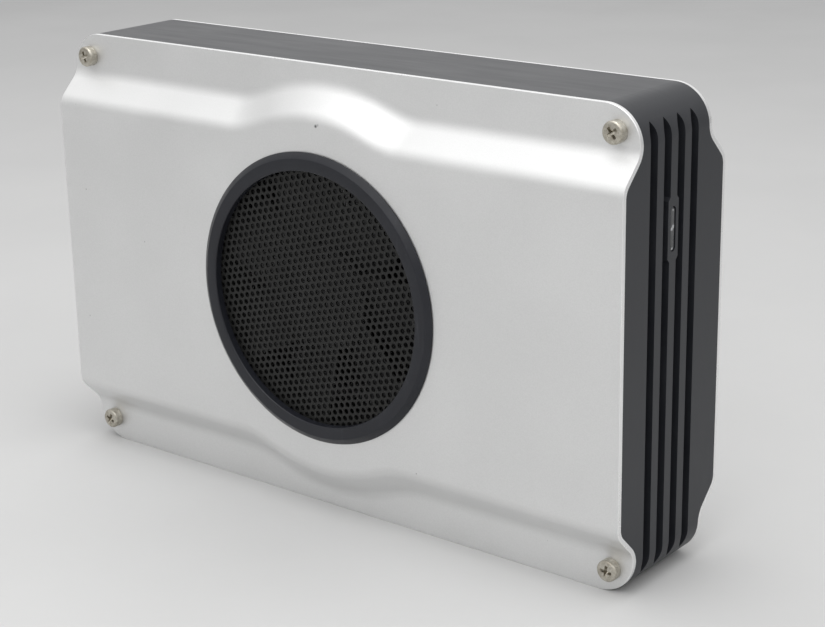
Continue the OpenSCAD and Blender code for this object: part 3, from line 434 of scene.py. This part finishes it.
def turned(name, c, centre, rough=0.25, per_mm=5.0, depth=0.003):
    """Machined metal with rings about an axis along Y through centre, (x, z) in mm."""
    f = Finish(name, rough, 1.0)
    n = f.node("ShaderNodeVectorMath", operation="SUBTRACT")
    f.link(f.coords, n.inputs[0])
    n.inputs[1].default_value = (centre[0] * MM, 0, centre[1] * MM)
    flat = f.node("ShaderNodeVectorMath", operation="MULTIPLY")
    f.link(n.outputs[0], flat.inputs[0])
    flat.inputs[1].default_value = (1, 0, 1)
    length = f.node("ShaderNodeVectorMath", operation="LENGTH")
    f.link(flat.outputs[0], length.inputs[0])
    rings = f.node("ShaderNodeTexNoise", noise_dimensions="1D")
    rings.inputs["Scale"].default_value = per_mm / MM
    rings.inputs["Detail"].default_value = 3
    f.link(length.outputs["Value"], rings.inputs["W"])
    dark, light = tones(c, 0.06)
    f.colour(f.blend(f.remap(rings.outputs["Fac"], 0.3, 0.7), dark, light))
    f.roughness(f.remap(f.noise(0.08, 3), 0.3, 0.7, rough - 0.04, rough + 0.06))
    f.relief(rings.outputs["Fac"], depth)
    return f.material


def cover_finish():
    """Blasted and anodised aluminium: even silver, very fine grain, stray specks, a nick over the grille."""
    f = Finish("blasted aluminium", 0.54, 1.0)
    grain = f.noise(3.2, 2, 0.6)
    cloud = f.noise(0.02, 4)
    tone = f.math("ADD", f.math("MULTIPLY", grain, 0.5), f.math("MULTIPLY", cloud, 0.5))
    silver = f.blend(f.remap(tone, 0.35, 0.65), (0.74, 0.742, 0.74), (0.8, 0.802, 0.8))
    specks = f.math("MULTIPLY", f.remap(f.cells(0.09), 0.026, 0.014), 0.4)
    nick = f.spot((2.6, -24.2, 114.6), 0.6, 0.15)
    tail = f.math("MULTIPLY", f.spot((3.3, -24.2, 114.95), 0.5, 0.1), 0.4)
    marks = f.math("MAXIMUM", specks, f.math("MAXIMUM", nick, tail))
    f.colour(f.blend(marks, silver, (0.14, 0.14, 0.14)))
    f.roughness(f.remap(f.noise(0.04, 5), 0.3, 0.7, 0.5, 0.58))
    f.relief(grain, 0.012)
    return f.material


def frame_finish():
    """Dark grey matt paint on the frame, with faint lines along the case."""
    f = Finish("frame paint", 0.42, 0.0, Specular_IOR_Level=0.43)
    lines = f.noise(0.35, 5, 0.6, f.stretched((0.12, 1, 0.3)))
    cloud = f.noise(0.03, 3)
    mix = f.math("ADD", f.math("MULTIPLY", lines, 0.6), f.math("MULTIPLY", cloud, 0.4))
    colour = f.blend(f.remap(mix, 0.35, 0.65), (0.016, 0.0175, 0.0215), (0.023, 0.0245, 0.029))
    f.colour(colour)
    f.roughness(f.remap(mix, 0.35, 0.65, 0.38, 0.47))
    f.relief(f.noise(2.6, 2), 0.02)
    return f.material


def screw_finish():
    """Nickel plate gone warm and blotchy."""
    f = Finish("tarnished nickel", 0.3, 1.0)
    blot = f.noise(0.9, 5, 0.65, distortion=0.4)
    colour = f.blend(f.remap(blot, 0.36, 0.62), (0.4, 0.37, 0.31), (0.58, 0.555, 0.49))
    pits = f.remap(f.noise(2.4, 3, 0.7), 0.6, 0.72)
    colour = f.blend(pits, colour, (0.2, 0.17, 0.13))
    f.colour(colour)
    f.roughness(f.remap(blot, 0.3, 0.7, 0.46, 0.3))
    f.relief(f.noise(1.2, 4, 0.6), 0.05)
    return f.material


def foam_finish():
    """Black closed-cell foam with open cells at its cut faces."""
    f = Finish("closed cell foam", 0.85)
    cell = f.cells(1.8)
    f.colour(f.blend(f.remap(cell, 0.1, 0.6), (0.012, 0.012, 0.012), (0.045, 0.045, 0.045)))
    f.roughness(f.remap(cell, 0.1, 0.6, 0.75, 0.95))
    f.relief(cell, 0.25)
    return f.material


def board_finish():
    """Solder mask over copper: square-cornered tracks that stand out a little."""
    f = Finish("solder mask", 0.32, Coat_Weight=0.3)
    cell = f.cells(0.35, vector=f.stretched((1, 0.2, 1)), metric="CHEBYCHEV")
    second = f.cells(0.35, feature="F2", vector=f.stretched((1, 0.2, 1)), metric="CHEBYCHEV")
    gap = f.math("SUBTRACT", second, cell)
    track = f.remap(gap, 0.08, 0.12)
    f.colour(f.blend(track, (0.012, 0.085, 0.03), (0.02, 0.16, 0.055)))
    f.roughness(f.remap(f.noise(0.4, 3), 0.3, 0.7, 0.26, 0.38))
    f.relief(track, 0.035)
    return f.material


def wound_finish(name, c):
    """Enamelled wire laid in turns."""
    f = Finish(name, 0.3, 1.0)
    wave = f.node("ShaderNodeTexWave", bands_direction="Y")
    wave.inputs["Scale"].default_value = 1.1 / MM
    wave.inputs["Distortion"].default_value = 0.6
    wave.inputs["Detail"].default_value = 1
    f.link(f.coords, wave.inputs["Vector"])
    dark, light = tones(c, 0.3)
    f.colour(f.blend(wave.outputs["Fac"], dark, light))
    f.roughness(f.remap(f.noise(0.6, 3), 0.3, 0.7, 0.24, 0.36))
    f.relief(wave.outputs["Fac"], 0.08)
    return f.material


def mirror_finish():
    """Disk surface: near perfect, with the faintest rings and dust."""
    f = Finish("disk mirror", 0.04, 1.0)
    dust = f.remap(f.noise(0.8, 5, 0.7), 0.7, 0.8)
    f.colour(f.blend(dust, (0.83, 0.84, 0.86), (0.72, 0.72, 0.73)))
    f.roughness(f.remap(f.noise(0.05, 3), 0.3, 0.7, 0.02, 0.06))
    return f.material


def lens_finish():
    """Clear plastic of the status light, with four painted glints: pale, less clear spots set where
    highlights fall.
    """
    f = Finish("clear plastic", 0.3, Transmission_Weight=0.6, IOR=1.58)
    streak = f.noise(0.7, 3, 0.6, f.stretched((1, 1, 0.5)))
    painted_glint = None
    # Painted glints: four pale spots at fixed places on the lens stand in for highlights, and let less light
    # through.
    for y, z, r in ((-1.35, 96.2, 0.5), (-0.75, 96.75, 0.55), (-1.1, 90.95, 0.45), (-1.0, 101.1, 0.28)):
        glint_spot = f.spot((100.8, y, z), r * 1.1, r * 0.7)
        painted_glint = f.math("MAXIMUM", painted_glint, glint_spot) if painted_glint else glint_spot
    clear = f.blend(f.remap(streak, 0.4, 0.6), (0.11, 0.115, 0.12), (0.16, 0.165, 0.17))
    f.colour(f.blend(painted_glint, clear, (0.45, 0.46, 0.47)))
    f.roughness(f.math("ADD", f.remap(streak, 0.3, 0.7, 0.26, 0.36), f.math("MULTIPLY", painted_glint, 0.3)))
    f.link(f.remap(painted_glint, 0.0, 1.0, 0.6, 0.1), f.shader.inputs["Transmission Weight"])
    f.relief(streak, 0.012)
    return f.material


FINISHES = {
    "frame_grey": frame_finish(),
    "cover_aluminium": cover_finish(),
    "screw_nickel": screw_finish(),
    "ring_black": moulded("ring plastic", (0.0135, 0.0145, 0.019), 0.34, 1.6, 0.02, Specular_IOR_Level=0.33),
    "grille_black": moulded("powder coat", (0.007, 0.007, 0.0065), 0.5, 1.4, 0.03, 0.25,
                            Specular_IOR_Level=0.35),
    "foam": foam_finish(),
    "steel": brushed("zinc plate", (0.6, 0.6, 0.59), 0.32, (0.5, 0.5, 0.5), 1.5, 0.01, 0.15),
    "black_plastic": moulded("black plastic", (0.026, 0.026, 0.028), 0.4, 1.8, 0.02),
    "copper": wound_finish("enamelled copper", (0.72, 0.33, 0.15)),
    "bronze": cast("sintered bronze", (0.62, 0.44, 0.2), 0.4, 2.0, 0.02),
    "ferrite": cast("bonded ferrite", (0.06, 0.06, 0.06), 0.6, 1.2, 0.03, 0.3),
    "red_wire": moulded("red insulation", (0.5, 0.025, 0.02), 0.45, 0.8, 0.02),
    "grey_wire": moulded("grey insulation", (0.2, 0.2, 0.2), 0.45, 0.8, 0.02),
    "black_wire": moulded("black insulation", (0.018, 0.018, 0.018), 0.45, 0.8, 0.02),
    "clear_plastic": lens_finish(),
    "board_green": board_finish(),
    "lamp_white": moulded("lamp resin", (0.8, 0.78, 0.66), 0.25, 0.8, 0.01, 0.06),
    "chip_black": moulded("chip resin", (0.026, 0.026, 0.028), 0.5, 2.5, 0.02),
    "contact_gold": brushed("gold flash", (0.83, 0.6, 0.26), 0.24, (0.4, 1, 1), 2.5, 0.006, 0.1),
    "tin_shell": brushed("tin plate", (0.72, 0.72, 0.71), 0.28, (0.06, 1, 1), 2.5, 0.008, 0.1),
    "blue_plastic": moulded("blue plastic", (0.015, 0.07, 0.38), 0.4, 1.5, 0.02),
    "rail_grey": moulded("rail plastic", (0.055, 0.055, 0.06), 0.5, 1.5, 0.03),
    "cast_aluminium": cast("cast aluminium", (0.52, 0.53, 0.55), 0.48, 0.8, 0.05),
    "lid_steel": brushed("pressed stainless", (0.66, 0.66, 0.67), 0.3, (0.03, 1, 1), 3.0, 0.005),
    "platter_mirror": mirror_finish(),
    "machined_aluminium": turned("machined aluminium", (0.72, 0.72, 0.73), SPINDLE),
    "magnet_nickel": brushed("nickel plate", (0.64, 0.62, 0.58), 0.18, (0.4, 1, 0.4), 1.2, 0.006, 0.08),
    "ramp_ivory": moulded("ramp plastic", (0.72, 0.68, 0.55), 0.4, 1.2, 0.02, 0.06),
    "filter_white": cast("felt filter", (0.75, 0.75, 0.74), 0.9, 1.5, 0.3, 0.0),
}

# The fan shows through the grille, in a greyer plastic than the switch and the jack.
FAN_FINISH = moulded("fan plastic", (0.05, 0.05, 0.052), 0.45, 1.6, 0.02)
# The cut edge of the sheet is brighter than its faces.
EDGE_FINISH = brushed("cut aluminium edge", (0.88, 0.88, 0.88), 0.28, (0.2, 3, 0.2), 3.0, 0.01, 0.05)

for row in frame["record"]["subparts"]:
    mesh = nodes[row["node"]].data
    finish = FAN_FINISH if row["node"] in ("fan_frame", "fan_rotor") else FINISHES[row["material_slot"]]
    for k in range(len(mesh.materials)):
        mesh.materials[k] = finish


# ---------------------------------------------------------------- covers
build_cover("front_cover_skin", -1, True, "front_cover")
build_cover("back_cover_skin", 1, False, "back_cover")


# ---------------------------------------------------------------- grille ring
def build_ring():
    """Moulded ring with a full outer round, a soft bore edge and four snap hooks behind the sheet."""
    (_, front, _), (foot_r, _, _) = box_mm("grille_ring")
    bore_r, rebate_r, neck_r = 36.8, 38.5, GRILLE_HOLE_R - 0.2
    foot_round, crest_round, bore_round = 0.25, 0.55, 0.4
    face_y, plate_y, end_y = -front, -box_mm("grille_plate")[0][1], PLATEAU_Y - 0.3
    profile = [(neck_r, end_y), (neck_r, COVER_Y)]
    profile += arc((foot_r - foot_round, COVER_Y + foot_round), foot_round, 0, 38, 4)
    profile += arc((foot_r - 1.95, face_y - crest_round), crest_round, 52, 90, 6)
    profile += [(foot_r - 3.4, face_y)]
    profile += arc((bore_r + bore_round, face_y - bore_round), bore_round, 90, 180, 6)
    profile += [(bore_r, plate_y), (rebate_r, plate_y), (rebate_r, end_y)]
    rows = turned_rows(profile, (0, MID_Z), -1, 288)
    verts, faces = rows_mesh(rows, closed=True)
    hook_outline = ((38.8, 22.2), (38.8, 22.98), (40.7, 22.98), (41.0, 22.7), (41.0, 22.4), (40.8, 22.2))
    hook_w, hook_steps = 8, 6
    for quarter in range(4):
        middle = math.radians(45 + 90 * quarter)
        spread = [middle + (k / hook_steps - 0.5) * hook_w / GRILLE_HOLE_R for k in range(hook_steps + 1)]
        hook = [[(r * math.cos(t), -y, MID_Z + r * math.sin(t)) for t in spread] for r, y in hook_outline]
        start, width = len(verts), len(hook[0])
        verts += [p for row in hook for p in row]
        for i in range(len(hook)):
            a, b = start + i * width, start + (i + 1) % len(hook) * width
            faces += [(a + k, a + k + 1, b + k + 1, b + k) for k in range(width - 1)]
        for end in (0, width - 1):
            faces.append([start + i * width + end for i in range(len(hook))])
    closed_piece("grille_ring_moulded", verts, faces, "ring_black", "grille_ring")


build_ring()


# ---------------------------------------------------------------- cover screws
def phillips_cutter():
    """Cross-shaped punch along Y that tapers from its mouth, near y = 0, to a blunt tip."""

    def cross(reach, half, y):
        arms = []
        for k in range(4):
            c, n = round(math.cos(math.pi / 2 * k)), round(math.sin(math.pi / 2 * k))
            for along, across in ((half, -half), (reach, -half), (reach, half)):
                arms.append((along * c - across * n, y, along * n + across * c))
        return arms

    rows = [cross(1.78, 0.46, -0.3), cross(1.6, 0.42, 0.25), cross(0.75, 0.3, 1.35), cross(0.32, 0.3, 1.5)]
    verts, faces = rows_mesh(rows)
    width = len(rows[0])
    last, tip = len(verts) - width, len(verts)
    verts.append((0, 1.75, 0))
    faces += [(last + k, last + (k + 1) % width, tip) for k in range(width)]
    faces.append(tuple(range(width)))
    return verts, faces


def screw_mesh():
    """M3 pan head screw along Y: seat at y = 0, head towards -Y, threaded shank towards +Y."""
    steps, head_h, shoulder, crown_r, chamfer = 48, 2.8, 0.6, 14.0, 0.12
    flat_r = HEAD_R - shoulder
    drop = crown_r - math.sqrt(crown_r**2 - flat_r**2)
    thread_y, pitch, low_r, high_r = 0.3, 0.5, 1.22, 1.49
    rows_per_turn, thread_rows, fade_in, fade_out = 4, 62, 4, 5
    profile = [(0.0, -head_h)]
    profile += [(r, -head_h + crown_r - math.sqrt(crown_r**2 - r * r)) for r in (0.8, 1.6, flat_r)]
    profile += [(r, -y) for r, y in arc((flat_r, head_h - drop - shoulder), shoulder, 78, 0, 8)]
    profile += [(HEAD_R, -chamfer), (HEAD_R - chamfer, 0.0), (1.62, 0.0), (1.3, thread_y)]
    rows = turned_rows(profile, (0, 0), 1, steps)
    for n in range(1, thread_rows):
        y = thread_y + n * pitch / rows_per_turn
        fade = min(1, n / fade_in, (thread_rows - n) / fade_out)
        row = []
        for k in range(steps):
            wave = abs(((y / pitch - k / steps) % 1) * 2 - 1)
            r = low_r + (high_r - low_r) * wave * fade
            t = 2 * math.pi * k / steps
            row.append((r * math.cos(t), y, r * math.sin(t)))
        rows.append(row)
    rows += turned_rows([(1.1, 8.4), (0.85, 8.7), (0.0, 8.7)], (0, 0), 1, steps)
    return rows_mesh(rows)


def build_screws():
    """Cuts the cross into one screw and sets four copies in each cover, each turned its own way."""

    def loose(name, verts, faces):
        mesh = bpy.data.meshes.new(name)
        mesh.from_pydata([tuple(c * MM for c in v) for v in verts], [], faces)
        b = bmesh.new()
        b.from_mesh(mesh)
        bmesh.ops.remove_doubles(b, verts=b.verts, dist=0.001 * MM)
        bmesh.ops.recalc_face_normals(b, faces=b.faces)
        b.to_mesh(mesh)
        b.free()
        obj = bpy.data.objects.new(name, mesh)
        bpy.context.scene.collection.objects.link(obj)
        return obj

    blank = loose("blank", *screw_mesh())
    cutter = loose("cutter", *phillips_cutter())
    cutter.location = (0, -2.7 * MM, 0)
    cut = blank.modifiers.new("recess", "BOOLEAN")
    cut.object = cutter
    cut.operation = "DIFFERENCE"
    cut.solver = "EXACT"
    soften = blank.modifiers.new("soften", "BEVEL")
    soften.width = 0.05 * MM
    soften.segments = 2
    soften.limit_method = "ANGLE"
    soften.angle_limit = math.radians(40)
    bpy.context.view_layer.update()
    master = bpy.data.meshes.new_from_object(blank.evaluated_get(bpy.context.evaluated_depsgraph_get()))
    for obj in (blank, cutter):
        bpy.data.objects.remove(obj)
    turns = {"front": (24, 71, 8, 52), "back": (35, 10, 64, 83)}
    for side, word in ((-1, "front"), (1, "back")):
        places = [(x, z) for x in (-SCREW_X, SCREW_X) for z in SCREW_ZS]
        for n, (x, z) in enumerate(places):
            mesh = master.copy()
            place = Matrix.Translation(Vector((x, side * (FLANGE_Y + SHEET), z)) * MM)
            if side > 0:
                place = place @ Matrix.Rotation(math.pi, 4, "Z")
            mesh.transform(place @ Matrix.Rotation(math.radians(turns[word][n]), 4, "Y"))
            mesh.shade_smooth()
            mesh.set_sharp_from_angle(angle=math.radians(45))
            mesh.materials.clear()
            mesh.materials.append(FINISHES["screw_nickel"])
            obj = bpy.data.objects.new(f"{word}_screw_{n + 1}", mesh)
            bpy.context.scene.collection.objects.link(obj)
            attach(obj, "enclosure")
            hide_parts(f"{word}_cover_screws")


build_screws()


# ---------------------------------------------------------------- light pipe
def build_light_pipe():
    """Clear light pipe with a crowned face set a little back in its slot, and a flange behind the wall."""
    low, high = box_mm("light_pipe")
    mid_y, mid_z = (low[1] + high[1]) / 2, (low[2] + high[2]) / 2

    def outline(w, h, x, per_end=12, per_side=10):
        r = w / 2
        pts = arc((0, (h - w) / 2), r, 0, 180, per_end)
        pts += [(-r, (h - w) / 2 - (h - w) * k / per_side) for k in range(1, per_side)]
        pts += arc((0, -(h - w) / 2), r, 180, 360, per_end)
        pts += [(r, -(h - w) / 2 + (h - w) * k / per_side) for k in range(1, per_side)]
        return [(x, mid_y + y, mid_z + z) for y, z in pts]

    w, h, front = 2.2, 11.45, 100.84
    flange_w, flange_h, flange_back, flange_front, bevel = 3.6, 13.2, 96.0, 97.0, 0.2
    crown = ((0.0, 0.42), (0.05, 0.28), (0.14, 0.16), (0.28, 0.07), (0.5, 0.02), (0.8, 0.0), (w / 2, 0.0))
    sliver = 1e-4  # keeps the innermost outline from shrinking to a line
    rows = [
        outline(flange_w - bevel, flange_h - bevel, flange_back),
        outline(flange_w, flange_h, flange_back + bevel),
        outline(flange_w, flange_h, flange_front - bevel),
        outline(flange_w - bevel, flange_h - bevel, flange_front),
        outline(w + bevel / 2, h + bevel / 2, flange_front),
        outline(w, h, flange_front + bevel),
    ]
    rows += [outline(w - 2 * inset + sliver, h - 2 * inset, front - back) for inset, back in crown]
    verts, faces = rows_mesh(rows)
    width = len(rows[0])
    faces.append(tuple(range(width)))
    last = len(verts) - width
    faces.append(tuple(range(last, last + width)))
    closed_piece("light_pipe_clear", verts, faces, "clear_plastic", "light_pipe", merge=0.0001)


build_light_pipe()


# ---------------------------------------------------------------- camera
def studio_camera():
    """The photograph's standpoint, from a fit of the case's own edges."""
    yaw, pitch, roll = (math.radians(a) for a in (39.161, 17.867, -1.127))
    forward = Vector((-math.sin(yaw) * math.cos(pitch), math.cos(yaw) * math.cos(pitch), -math.sin(pitch)))
    right = Vector((math.cos(yaw), math.sin(yaw), 0))
    up = right.cross(forward)
    turned_right = math.cos(roll) * right + math.sin(roll) * up
    turned_up = -math.sin(roll) * right + math.cos(roll) * up
    target, distance = Vector((15.361, 0, 57.578)) * MM, 0.5426
    data = bpy.data.cameras.new("camera")
    data.sensor_width = 36
    data.lens = 83.27
    data.clip_start = 0.01
    data.clip_end = 50
    cam = bpy.data.objects.new("camera", data)
    turn = Matrix((turned_right, turned_up, -forward)).transposed().to_4x4()
    cam.matrix_world = Matrix.Translation(target - forward * distance) @ turn
    bpy.context.scene.collection.objects.link(cam)
    bpy.context.scene.camera = cam


# ---------------------------------------------------------------- floor and light
def floor_and_light():
    """Pale floor with a painted pool of light, darkening away from a point in front of the object, under a
    broad dome that is brighter overhead, with four weak soft panels.
    """
    scene = bpy.context.scene
    scene.view_settings.view_transform = "Standard"
    world = bpy.data.worlds.new("studio")
    scene.world = world
    world.use_nodes = True
    tree = world.node_tree
    background = tree.nodes["Background"]
    background.inputs["Color"].default_value = (1, 1, 1, 1)
    split = tree.nodes.new("ShaderNodeSeparateXYZ")
    tree.links.new(tree.nodes.new("ShaderNodeTexCoord").outputs["Generated"], split.inputs[0])
    dome = tree.nodes.new("ShaderNodeMapRange")
    dome.interpolation_type = "SMOOTHSTEP"
    for key, v in (("From Min", 0.22), ("From Max", 0.95), ("To Min", 0.56), ("To Max", 1.34)):
        dome.inputs[key].default_value = v
    tree.links.new(split.outputs["Z"], dome.inputs["Value"])
    tree.links.new(dome.outputs["Result"], background.inputs["Strength"])

    f = Finish("pale floor", 0.85, Specular_IOR_Level=0.05)
    span = f.node("ShaderNodeVectorMath", operation="DISTANCE")
    f.link(f.coords, span.inputs[0])
    span.inputs[1].default_value = (0.1, -0.25, 0)  # centre of the painted pool of light, in front of the object
    near = f.remap(f.noise(0.01, 4), 0.3, 0.7, -0.05, 0.05)
    painted_light_falloff = f.math("ADD", span.outputs["Value"], near)
    # Painted light on the floor: the colour darkens from pale near the object to grey 1.5 m away, standing in
    # for the lamps' falloff.
    f.colour(f.blend(f.remap(painted_light_falloff, 0.15, 1.5), (0.555, 0.555, 0.553), (0.31, 0.31, 0.311)))
    f.relief(f.noise(0.4, 3), 0.05)
    mesh = bpy.data.meshes.new("floor")
    far_x = far_y = 6  # metres
    corners = [(-far_x, -far_y, 0), (far_x, -far_y, 0), (far_x, far_y, 0), (-far_x, far_y, 0)]
    mesh.from_pydata(corners, [], [(0, 1, 2, 3)])
    mesh.materials.append(f.material)
    floor = bpy.data.objects.new("floor", mesh)
    scene.collection.objects.link(floor)

    def panel(name, place, aim, size, power):
        """Soft light at place, facing aim, out of sight of the camera."""
        light = bpy.data.lights.new(name, "AREA")
        light.shape = "RECTANGLE"
        light.size, light.size_y = size
        light.energy = power
        obj = bpy.data.objects.new(name, light)
        obj.location = place
        obj.visible_camera = False
        obj.rotation_euler = (Vector(aim) - Vector(place)).to_track_quat("-Z", "Y").to_euler()
        scene.collection.objects.link(obj)

    panel("overhead", (0.1, -0.3, 1.9), (0, 0, 0), (1.0, 1.0), 8)
    panel("front_fill", (0.15, -1.25, 1.0), (0, 0, 0.05), (1.5, 0.9), 4.5)
    panel("right_fill", (1.3, -0.2, 0.9), (0.1, 0, 0), (1.0, 1.0), 1.8)
    panel("back_left", (-1.05, 1.3, 0.62), (0, 0, 0.1), (1.2, 0.6), 1.2)


studio_camera()
floor_and_light()
